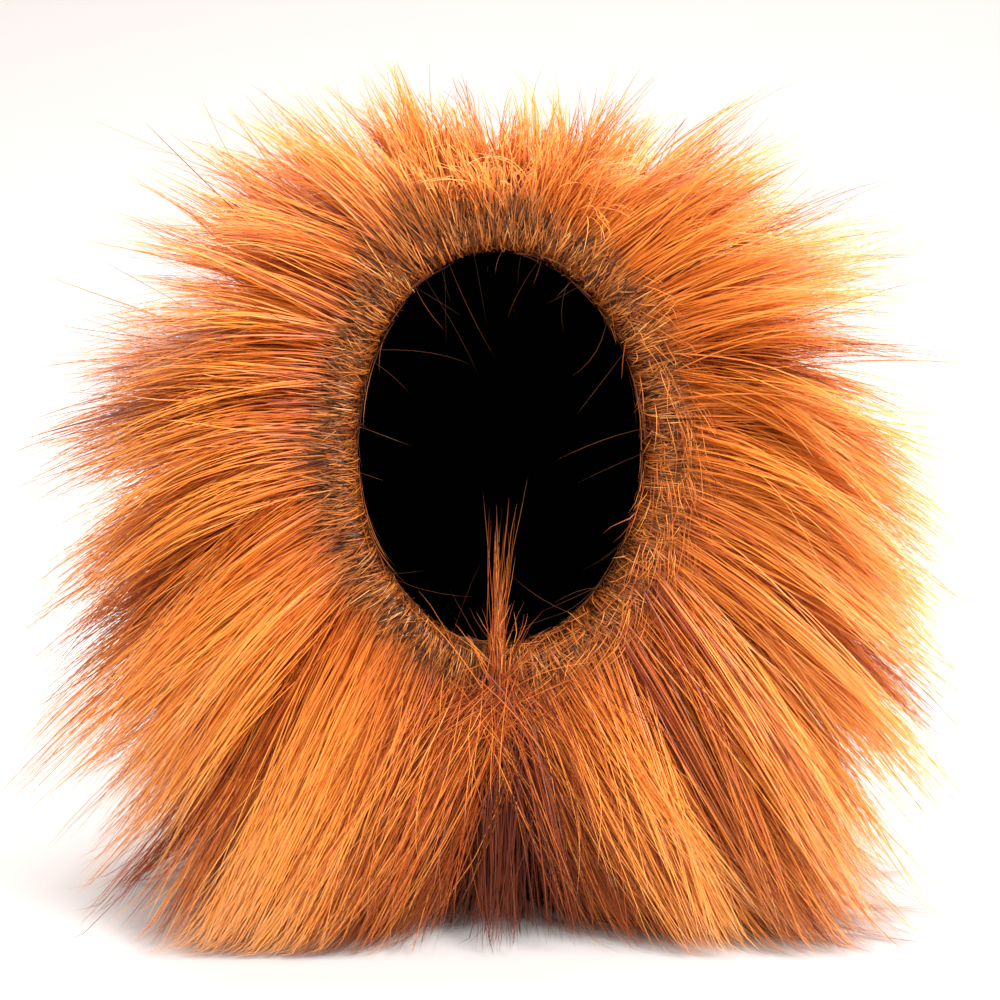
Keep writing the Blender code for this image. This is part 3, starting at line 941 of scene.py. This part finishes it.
@dataclass
class FaceHem:
    """The padded roll round the face opening, with its short crosswise pile and the long hair along its edge.

    A section angle goes round the roll in degrees: 0 is outwards, 90 to the front and 180 into the opening.
    A pair is the least and the most. It is a mean and its spread in edge_drift_mm, brushed_sweep,
    brushed_away_mm and brushed_tint, wide and narrow stripes in stripe_tints, and ahead and inward in
    stray_root_mm. brushed_clock is the least, the likeliest and the most.
    """

    hood: HoodForm
    centre_mm: Triple = (0.0, -74.0, 198.5)
    half_width_mm: float = 65.0
    half_height_mm: float = 88.0
    radius_mm: float = 7.4
    swell: float = 0.015
    rings: int = 120
    sides: int = 16
    seed: int = 31
    hairs: int = 9200
    pile_root: Pair = (60.0, 235.0)
    pile_leave: Pair = (48.0, 100.0)
    pile_length_mm: Pair = (9.0, 30.0)
    pile_uneven: float = 0.3
    right_share: float = 0.8
    pile_lift_mm: Pair = (0.2, 3.2)
    pile_off_mm: float = 0.3
    pile_lean_mm: float = 5.0
    pile_gather: float = 0.6
    pile_turned: float = 0.4
    pile_tint: float = 0.44
    stripe_tints: Pair = (0.15, 0.13)
    hair_tints: float = 0.2
    pile_width_mm: Pair = (0.34, 0.6)
    edge_hairs: int = 420
    edge_sweep: Pair = (8.0, 30.0)
    edge_inset_mm: Pair = (3.5, 9.5)
    edge_drift_mm: Pair = (-1.0, 2.0)
    edge_ahead_mm: Pair = (-4.0, 9.0)
    edge_settle: float = 0.3
    edge_turned: float = 0.5
    edge_tint: Pair = (0.05, 0.6)
    edge_width_mm: Pair = (0.16, 0.3)
    stray_hairs: int = 36
    stray_root_mm: Pair = (3.0, 7.0)
    stray_fall: float = 1.1
    stray_turned: float = 0.3
    stray_bow: float = 0.12
    stray_tint: Pair = (0.05, 0.4)
    stray_start: float = 0.4
    stray_length_mm: Pair = (10.0, 46.0)
    stray_width_mm: Pair = (0.09, 0.15)
    brushed_hairs: int = 1300
    brushed_clock: Triple = (28.0, 112.0, 172.0)
    brushed_sweep: Pair = (17.0, 7.0)
    brushed_out_mm: Pair = (-5.0, 14.0)
    brushed_away_mm: Pair = (8.0, 8.0)
    brushed_ahead_mm: Pair = (5.0, 12.5)
    brushed_arch: Triple = (-0.6, 4.4, -3.0)
    brushed_turned: float = 0.45
    brushed_tint: Pair = (0.3, 0.16)
    brushed_start: float = 0.08
    brushed_width_mm: Pair = (0.2, 0.36)

    def frame_at(self, clock: Array, grow: Array | float = 0.0) -> tuple[Array, Array]:
        """The roll's middle line and its outward direction in the face's plane.

        Args:
            clock: clock angles in degrees.
            grow: millimetres by which the oval is larger.

        Returns:
            Points and unit directions.
        """
        turn = np.radians(clock)
        zero = np.zeros_like(turn)
        wide, tall = self.half_width_mm + grow, self.half_height_mm + grow
        place = np.stack([wide * np.sin(turn), zero, tall * np.cos(turn)], -1)
        away = unit(np.stack([tall * np.sin(turn), zero, wide * np.cos(turn)], -1))
        return (place + np.array(self.centre_mm)) * MM + self.hood.shift, away

    def surface(self, clock: Array, section_deg: Array) -> Array:
        """Points on the roll.

        Args:
            clock: clock angles as the hood's are.
            section_deg: angles round the roll: 0 outwards, 90 to the front.

        Returns:
            Points in metres.
        """
        turn = np.radians(clock)
        own = np.degrees(np.arctan2(self.half_height_mm * np.sin(turn), self.half_width_mm * np.cos(turn)))
        middle, away = self.frame_at(own)
        angle = np.radians(section_deg)[:, None]
        return middle + (np.cos(angle) * away + np.sin(angle) * FORWARD) * self.radius_mm * MM

    def build_roll(self, finish: KnitFinish) -> bpy.types.Object:
        """Make the padded roll, a little uneven as wadding is.

        Args:
            finish: the cloth's finish.

        Returns:
            The roll's object.
        """
        bm = bmesh.new()
        rings = []
        phases = np.random.default_rng(self.seed).uniform(0, 2 * math.pi, 6)
        for clock in np.linspace(0, 360, self.rings, endpoint=False):
            middle, away = self.frame_at(np.array([clock]))
            waves = sum(math.sin(math.radians(clock) * (5 + 4 * i) + phase) for i, phase in enumerate(phases))
            radius = self.radius_mm * MM * (1 + self.swell * waves)
            ring = bmesh.ops.create_circle(bm, cap_ends=False, segments=self.sides, radius=radius)["verts"]
            for vertex in ring:
                vertex.co = Vector(middle[0] + vertex.co.x * away[0] + vertex.co.y * FORWARD)
            rings.append(ring)
        bridge_rings(bm, rings, closed=True)
        obj = stand_for(mesh_object(bm, "face_hem_roll", finish.material()), "face_hem")
        return obj

    def build_pile(self, surface: bpy.types.Material) -> bpy.types.Object:
        """Grow the short pile, which lies across the roll and lifts off it outwards into the long pile.

        Args:
            surface: the pile's material.

        Returns:
            The pile's object.
        """
        rng = np.random.default_rng(self.seed + 1)
        mesh = StrandMesh(stations=5, taper=(0.9, 1.0, 0.9, 0.6))
        clock = rng.uniform(0, 360, self.hairs)
        rim = np.zeros(self.hairs)
        start = np.radians(rng.uniform(*self.pile_root, self.hairs))
        leave = np.radians(rng.uniform(*self.pile_leave, self.hairs))
        uneven = 1 + self.pile_uneven * Wander(self.seed + 7, low=3, high=14).at(clock, rim)
        length = rng.uniform(*self.pile_length_mm, self.hairs) * uneven
        length *= np.where(clock < 180, self.right_share, 1.0)
        gathered = Wander(self.seed + 3, low=12, high=60).at(clock, rim)
        lean = self.pile_lean_mm * (rng.normal(0, 1.0, self.hairs) + self.pile_gather * gathered)
        lift = rng.uniform(*self.pile_lift_mm, self.hairs)
        middle, away = self.frame_at(clock)
        along = unit(np.cross(away, FORWARD))
        paths = []
        for share in np.linspace(0, 1, mesh.stations):
            reach = self.radius_mm + self.pile_off_mm + lift * share
            wound = share * length / self.radius_mm
            angle = np.maximum(start - wound, np.minimum(leave, start))
            free = np.maximum(wound - np.maximum(start - leave, 0), 0) * self.radius_mm
            ring = np.cos(angle)[:, None] * away + np.sin(angle)[:, None] * FORWARD
            onward = np.sin(angle)[:, None] * away - np.cos(angle)[:, None] * FORWARD
            step = ring * reach[:, None] + onward * free[:, None] + along * (lean * share)[:, None]
            paths.append(middle + step * MM)
        paths = np.stack(paths, 1)
        facing = turned(rng, paths[:, 2] - middle, self.pile_turned * self.radius_mm * MM, self.hairs)
        stripe = Wander(self.seed + 5, low=20, high=70).at(clock, rim)
        narrow = Wander(self.seed + 6, low=70, high=180).at(clock, rim)
        tint = self.pile_tint + self.stripe_tints[0] * stripe + self.stripe_tints[1] * narrow
        tint += rng.normal(0, self.hair_tints, self.hairs)
        mesh.add(paths, rng.uniform(*self.pile_width_mm, self.hairs), tint, facing)
        return stand_for(mesh.finish("face_hem_pile", surface), "face_hem")

    def build_edge(self, surface: bpy.types.Material) -> bpy.types.Object:
        """Lay long hair along the roll's inner edge, and thin strays over the opening.

        Args:
            surface: the hair's material.

        Returns:
            The hair's object.
        """
        rng = np.random.default_rng(self.seed + 2)
        mesh = StrandMesh()
        clock = rng.uniform(0, 360, self.edge_hairs)
        sweep = rng.uniform(*self.edge_sweep, self.edge_hairs) * np.sign(np.sin(np.radians(clock)))
        inset = rng.uniform(*self.edge_inset_mm, self.edge_hairs)
        drift = rng.normal(*self.edge_drift_mm, self.edge_hairs)
        ahead = rng.uniform(*self.edge_ahead_mm, self.edge_hairs)
        paths = []
        for share in np.linspace(0, 1, mesh.stations):
            middle, away = self.frame_at(clock + sweep * share)
            inward = inset + drift * share**2
            forward = FORWARD * (ahead * (1 - self.edge_settle * share))[:, None]
            paths.append(middle + (forward - away * inward[:, None]) * MM)
        facing = turned(rng, FORWARD, self.edge_turned, self.edge_hairs)
        width = rng.uniform(*self.edge_width_mm, self.edge_hairs)
        mesh.add(np.stack(paths, 1), width, rng.uniform(*self.edge_tint, self.edge_hairs), facing)
        self.add_strays(rng, mesh)
        return stand_for(mesh.finish("face_hem_edge_hair", surface), "face_hem")

    def add_strays(self, rng: np.random.Generator, mesh: StrandMesh) -> None:
        """Let thin single hairs hang from the roll over the opening.

        Args:
            rng: the random numbers.
            mesh: the hairs that they join.
        """
        count = self.stray_hairs
        middle, away = self.frame_at(rng.uniform(0, 360, count))
        ahead_mm, inset_mm = self.stray_root_mm
        root = middle + (FORWARD * ahead_mm - away * inset_mm) * MM
        fall = UP * rng.uniform(0.0, self.stray_fall, (count, 1))
        aim = turned(rng, -away - fall, self.stray_turned, count)
        length = rng.uniform(*self.stray_length_mm, (count, 1)) * MM
        tip = root + aim * length
        bow = rng.normal(0, self.stray_bow, away.shape) * length
        strays = bend(root, (root + tip) / 2 + bow, tip, np.ones(count), mesh.stations)
        facing = turned(rng, FORWARD, self.stray_turned, count)
        tint = rng.uniform(*self.stray_tint, count)
        mesh.add(strays, rng.uniform(*self.stray_width_mm, count), tint, facing, self.stray_start)

    def build_brushed(self, surface: bpy.types.Material) -> bpy.types.Object:
        """Brush fur over the roll's lower right, down towards the chin.

        Args:
            surface: the fur's material.

        Returns:
            The fur's object.
        """
        rng = np.random.default_rng(self.seed + 4)
        mesh = StrandMesh()
        count = self.brushed_hairs
        clock = rng.triangular(*self.brushed_clock, count)
        sweep = rng.normal(*self.brushed_sweep, count)
        start = rng.uniform(*self.brushed_out_mm, count)
        end = start + rng.normal(*self.brushed_away_mm, count)
        ahead = rng.uniform(*self.brushed_ahead_mm, count)
        low, slope, fall = self.brushed_arch
        paths = []
        for share in np.linspace(0, 1, mesh.stations):
            middle, _ = self.frame_at(clock + sweep * share, start + (end - start) * share)
            rise = ahead * (low + slope * share + fall * share**2)
            paths.append(middle + FORWARD * rise[:, None] * MM)
        paths = np.stack(paths, 1) + crimp(rng, count, mesh.stations)
        facing = turned(rng, FORWARD, self.brushed_turned, count)
        tint = rng.normal(*self.brushed_tint, count)
        mesh.add(paths, rng.uniform(*self.brushed_width_mm, count), tint, facing, self.brushed_start)
        return stand_for(mesh.finish("face_hem_brushed_fur", surface), "face_hem")


@dataclass
class NeckBand:
    """The folded band under the neck edge, over its plain solid."""

    finish: KnitFinish
    merge_mm: float = 0.01
    flat_deg: float = 1.0
    edge_deg: float = 50.0
    round_mm: float = 1.2

    def build(self) -> bpy.types.Object:
        """Make the band from a merged copy of its solid, with rounded edges.

        Returns:
            The band's object.
        """
        bm = bmesh.new()
        bm.from_mesh(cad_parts["neck_hem"].data)
        bmesh.ops.remove_doubles(bm, verts=bm.verts, dist=self.merge_mm * MM)
        bmesh.ops.dissolve_limit(bm, angle_limit=math.radians(self.flat_deg), verts=bm.verts, edges=bm.edges)
        sharp = math.radians(self.edge_deg)
        edges = [e for e in bm.edges if len(e.link_faces) == 2 and e.calc_face_angle(0) > sharp]
        size = self.round_mm * MM
        bmesh.ops.bevel(bm, geom=edges, offset=size, affect="EDGES", segments=3, profile=0.5, material=-1)
        obj = mesh_object(bm, "neck_band", self.finish.material())
        stand_for(obj, "neck_hem")
        return obj


@dataclass(frozen=True)
class Spray:
    """Hairs of the tuft that go from one cloud of points to another, in millimetres from the seat."""

    count: int
    root_size: Triple
    tip: Triple
    tip_size: Triple
    bow: Triple
    shortest: float


@dataclass
class ChinTuft:
    """The upright tuft at the chin, and the hair that parts from its foot over the bibs.

    tint is a mean and its spread.
    """

    hood: HoodForm
    seat_mm: Triple = (-1.0, -86.0, 103.0)
    bow_spread_mm: float = 1.5
    facing: Triple = (0.0, -1.0, 0.1)
    turned: float = 0.5
    tint: Pair = (0.24, 0.16)
    tint_start: float = 0.2
    width_mm: Pair = (0.2, 0.36)
    seed: int = 51
    sprays: tuple[Spray, ...] = (
        Spray(230, (1.0, 0.9, 3.0), (1.5, -2.0, 46.0), (0.9, 1.2, 4.0), (-1.0, -1.5, 0.0), 0.45),
        Spray(24, (1.2, 1.0, 3.0), (4.0, -3.0, 80.0), (4.0, 3.5, 9.0), (-2.0, -1.0, 0.0), 0.7),
        Spray(50, (4.0, 1.2, 3.0), (0.0, -3.0, 30.0), (24.0, 3.5, 9.0), (0.0, -1.0, 4.0), 0.6),
        Spray(130, (11.0, 1.5, 4.0), (-46.0, -8.0, -72.0), (20.0, 4.0, 18.0), (-14.0, -4.0, 12.0), 0.3),
        Spray(90, (9.0, 1.5, 4.0), (40.0, -8.0, -72.0), (16.0, 4.0, 16.0), (12.0, -5.0, 10.0), 0.3),
        Spray(80, (9.0, 1.5, 4.0), (0.0, -6.0, -66.0), (22.0, 6.0, 18.0), (0.0, -4.0, 0.0), 0.4),
    )

    def build(self, surface: bpy.types.Material) -> bpy.types.Object:
        """Grow the tuft.

        Args:
            surface: the pile's material.

        Returns:
            The tuft's object.
        """
        rng = np.random.default_rng(self.seed)
        seat = np.array(self.seat_mm)
        mesh = StrandMesh()
        for row in self.sprays:
            root = seat + rng.normal(0, 1, (row.count, 3)) * row.root_size
            tip = seat + row.tip + rng.normal(0, 1, (row.count, 3)) * row.tip_size
            middle = (root + tip) / 2 + row.bow + rng.normal(0, self.bow_spread_mm, (row.count, 3))
            ends = rng.uniform(row.shortest, 1, row.count)
            paths = bend(root, middle, tip, ends, mesh.stations) * MM + self.hood.shift
            paths += crimp(rng, row.count, mesh.stations)
            facing = turned(rng, np.array(self.facing), self.turned, row.count)
            width = rng.uniform(*self.width_mm, row.count)
            mesh.add(paths, width, rng.normal(*self.tint, row.count), facing, self.tint_start)
        return stand_for(mesh.finish("chin_tuft_pile", surface), "chin_tuft")


@dataclass(frozen=True)
class Lamp:
    """A square soft light that looks at the wig."""

    name: str
    place: Triple
    size: float
    watts: float


@dataclass
class Studio:
    """Plain pale floor and backdrop, soft lights and the camera."""

    target: Vector
    paper: str = "d2cdca"
    paper_roughness: float = 0.8
    floor_width: float = 6.0
    floor_front: float = -2.5
    floor_back: float = 1.2
    curve: float = 0.8
    curve_from: float = 0.1
    curve_steps: int = 12
    backdrop_height: float = 3.2
    lens_mm: float = 100.0
    sensor_mm: float = 36.0
    distance: float = 1.11
    elevation_deg: float = 11.5
    surround: float = 1.1
    lit_height: float = 0.16
    lamps: tuple[Lamp, ...] = (
        Lamp("key", (0.85, -0.85, 1.2), 0.7, 38.0),
        Lamp("back", (-0.1, 0.75, 1.25), 1.1, 26.0),
    )

    def build(self) -> None:
        """Set the stage, the lights and the camera."""
        scene = bpy.context.scene
        scene.view_settings.view_transform = "Standard"
        self.floor()
        self.lights()
        camera = bpy.data.cameras.new("camera")
        camera.lens = self.lens_mm
        camera.sensor_width = self.sensor_mm
        holder = bpy.data.objects.new("camera", camera)
        scene.collection.objects.link(holder)
        turn = math.radians(self.elevation_deg)
        holder.location = self.target + self.distance * Vector((0, -math.cos(turn), math.sin(turn)))
        holder.rotation_euler = (self.target - holder.location).to_track_quat("-Z", "Y").to_euler()
        scene.camera = holder

    def floor(self) -> None:
        """A floor that curves up into a backdrop."""
        curve = self.curve
        profile = [(self.floor_front, 0.0), (self.floor_back, 0.0)]
        for turn in np.linspace(self.curve_from, math.pi / 2, self.curve_steps):
            profile.append((self.floor_back + curve * math.sin(turn), curve - curve * math.cos(turn)))
        profile.append((self.floor_back + curve, self.backdrop_height))
        steps = len(profile) - 1
        bm = bmesh.new()
        bmesh.ops.create_grid(bm, x_segments=1, y_segments=steps, size=0.5)
        for vertex in bm.verts:
            depth, height = profile[round((vertex.co.y + 0.5) * steps)]
            vertex.co = (self.floor_width * vertex.co.x, depth, height)
        bmesh.ops.recalc_face_normals(bm, faces=bm.faces)
        # Matt paper: no shine, so that the wig stands on a plain pale ground with a soft shadow.
        made, _, shader = new_material("matt_white_paper")
        shader.inputs["Base Color"].default_value = linear(self.paper)
        shader.inputs["Roughness"].default_value = self.paper_roughness
        mesh_object(bm, "studio_floor", made)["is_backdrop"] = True

    def lights(self) -> None:
        """A white surround, a key from the upper right and a light from behind and above."""
        world = bpy.data.worlds.new("studio")
        world.use_nodes = True
        backdrop = world.node_tree.nodes["Background"]
        backdrop.inputs["Color"].default_value = (1.0, 1.0, 1.0, 1.0)
        backdrop.inputs["Strength"].default_value = self.surround
        bpy.context.scene.world = world
        for row in self.lamps:
            lamp = bpy.data.lights.new(row.name, "AREA")
            lamp.size = row.size
            lamp.energy = row.watts
            holder = bpy.data.objects.new(row.name, lamp)
            holder.location = row.place
            aim = Vector((0, 0, self.lit_height)) - Vector(row.place)
            holder.rotation_euler = aim.to_track_quat("-Z", "Y").to_euler()
            bpy.context.scene.collection.objects.link(holder)


# Dyed modacrylic staple: rust roots, darkened further as painted shade deep in the pile, an orange body, pale
# tips that are partly a painted backlit glow, and a soft gloss along each hair.
ORANGE_PILE = PileFinish(
    "dyed_modacrylic_long_pile",
    along=(
        (0.0, "30160a"), (0.1, "7c3e14"), (0.3, "dc7628"),
        (0.6, "f0923a"), (0.86, "f49c46"), (1.0, "f8be88"),
    ),
    tint=((0.0, "4c2814"), (0.25, "b88660"), (0.45, "f8eee4"), (0.7, "ffffff"), (1.0, "fffaf0")),
)
# Sheared modacrylic: short hairs from near-black through brown to tan, which streak the hem.
HEM_PILE = PileFinish(
    "sheared_modacrylic_hem_pile",
    along=((0.0, "4a2a14"), (0.25, "cc9860"), (0.8, "fff0d8"), (1.0, "ecc8a0")),
    tint=(
        (0.0, "140a05"), (0.28, "5c3012"), (0.52, "ac6a30"),
        (0.72, "d8883e"), (0.88, "dca058"), (1.0, "ecc48c"),
    ),
)
# Knitted polyester ground, dyed rust: a dark red-brown grain where locks part.
BACKING = KnitFinish("rust_knitted_fur_backing", "6b2c10", "2c1006")
# Knitted cover of the wadding: a dull brown between the short hairs.
HEM_KNIT = KnitFinish("brown_knitted_hem_cloth", "4a2c18", "241208")
# Black knit with hardly any gloss, its colour darker than real black cloth as painted shade inside the hood: it
# swallows the light, so that the opening looks deep.
LINING_KNIT = KnitFinish("black_knitted_lining", "070606", "020202", gloss=0.03)
# Black knit folded double: a soft dark edge under the fur.
BAND_KNIT = KnitFinish("black_folded_band", "141212", "080707")

# The lowest layer below the chin: hairs of nearly full length, painted dark as the shade under the mane, which
# stay in the furrows.
UNDER: dict[str, object] = {"under_share": 1.0, "stations": 7, "shortest": 0.85, "painted_light_shift": -0.25}
# Loose hairs that cross one another over the middle, which is darkened by painted furrow shade; their own
# painted furrow shade is weaker.
CROSSING: dict[str, object] = {
    "under_share": 0.0,
    "stray_share": 1.0,
    "stray_spread_mm": 15.0,
    "own_jitter": (9.0, 0.25, 8.0),
    "painted_furrow_shade": 0.15,
    "width_mm": (0.24, 0.4),
    "stations": 7,
}
BIB_JITTER = (5.0, 0.08, 20.0)  # looser locks than the other panels'

# Painted light and shade on the panels: the crown and the right cheek a little lighter, the left cheek and the
# left bib darker, as the key light falls from the upper right.
PANELS = (
    FurPanel("crown_fur", -52.0, 52.0, 0.0, 0.58, 500, 8000, 1, painted_light_shift=0.02),
    FurPanel("right_cheek_fur", 52.0, 116.0, 0.0, 0.58, 420, 6300, 2, painted_light_shift=0.05),
    FurPanel("left_cheek_fur", 244.0, 308.0, 0.0, 0.58, 420, 6300, 3, painted_light_shift=-0.12),
    FurPanel("right_bib_fur", 116.0, 180.0, 0.0, 0.58, 560, 9600, 4, wide_jitter=BIB_JITTER),
    FurPanel("left_bib_fur", 180.0, 244.0, 0.0, 0.58, 560, 9600, 5, wide_jitter=BIB_JITTER, painted_light_shift=-0.03),
    FurPanel("back_fur", -122.0, 122.0, 0.56, 0.99, 460, 6800, 6, stations=6),
    FurPanel("nape_fur", 122.0, 238.0, 0.56, 0.99, 260, 4000, 7, stations=6),
    FurPanel("back_fur", -180.0, 180.0, 0.66, 0.99, 240, 2600, 13, "whorl_pile", stations=6, shortest=0.7),
    FurPanel("right_bib_fur", 158.0, 180.0, 0.04, 0.3, 90, 1300, 8, "under_pile", **UNDER),
    FurPanel("left_bib_fur", 180.0, 202.0, 0.04, 0.3, 90, 1300, 9, "under_pile", **UNDER),
    FurPanel("crown_fur", -14.0, 14.0, 0.05, 0.5, 60, 800, 10, "top_pile", stations=7),
    FurPanel("right_bib_fur", 158.0, 182.0, 0.0, 0.2, 160, 550, 11, "crossing_pile", **CROSSING),
    FurPanel("left_bib_fur", 178.0, 202.0, 0.0, 0.2, 160, 550, 12, "crossing_pile", **CROSSING),
)


def report(obj: bpy.types.Object) -> None:
    """Log a finished piece."""
    log.info("%s: %d faces", obj.name, len(obj.data.polygons))


def main() -> None:
    """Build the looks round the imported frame."""
    logging.basicConfig(level=logging.INFO, format="%(name)s: %(message)s")
    cad_low, cad_high = (np.array(corner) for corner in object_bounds())
    hem_low, hem_high = (np.array(corner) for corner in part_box("face_hem"))
    middle = (hem_low + hem_high) / 2
    hood = HoodForm(shift=np.array([middle[0], middle[1] + FACE_FORWARD, 0.0]))
    low, high = cad_low - PILE_ROOM, cad_high + PILE_ROOM
    low[2] = -LYING
    flow = ManeFlow(hood, low, high)
    Studio(Vector((hood.shift[0], middle[1], CAMERA_HEIGHT))).build()
    log.info("studio set")
    report(HoodLining(hood, LINING_KNIT).build())
    report(NeckBand(BAND_KNIT).build())
    pile, hem_pile, cloth = ORANGE_PILE.material(), HEM_PILE.material(), BACKING.material()
    hem = FaceHem(hood)
    report(hem.build_roll(HEM_KNIT))
    report(hem.build_pile(hem_pile))
    report(hem.build_edge(hem_pile))
    report(hem.build_brushed(pile))
    for panel in PANELS:
        if panel.label == "pile":
            report(panel.backing(hood, cloth))
        report(panel.pile(flow, hem, pile))
    report(ChinTuft(hood).build(pile))


if __name__ == "__main__":
    main()
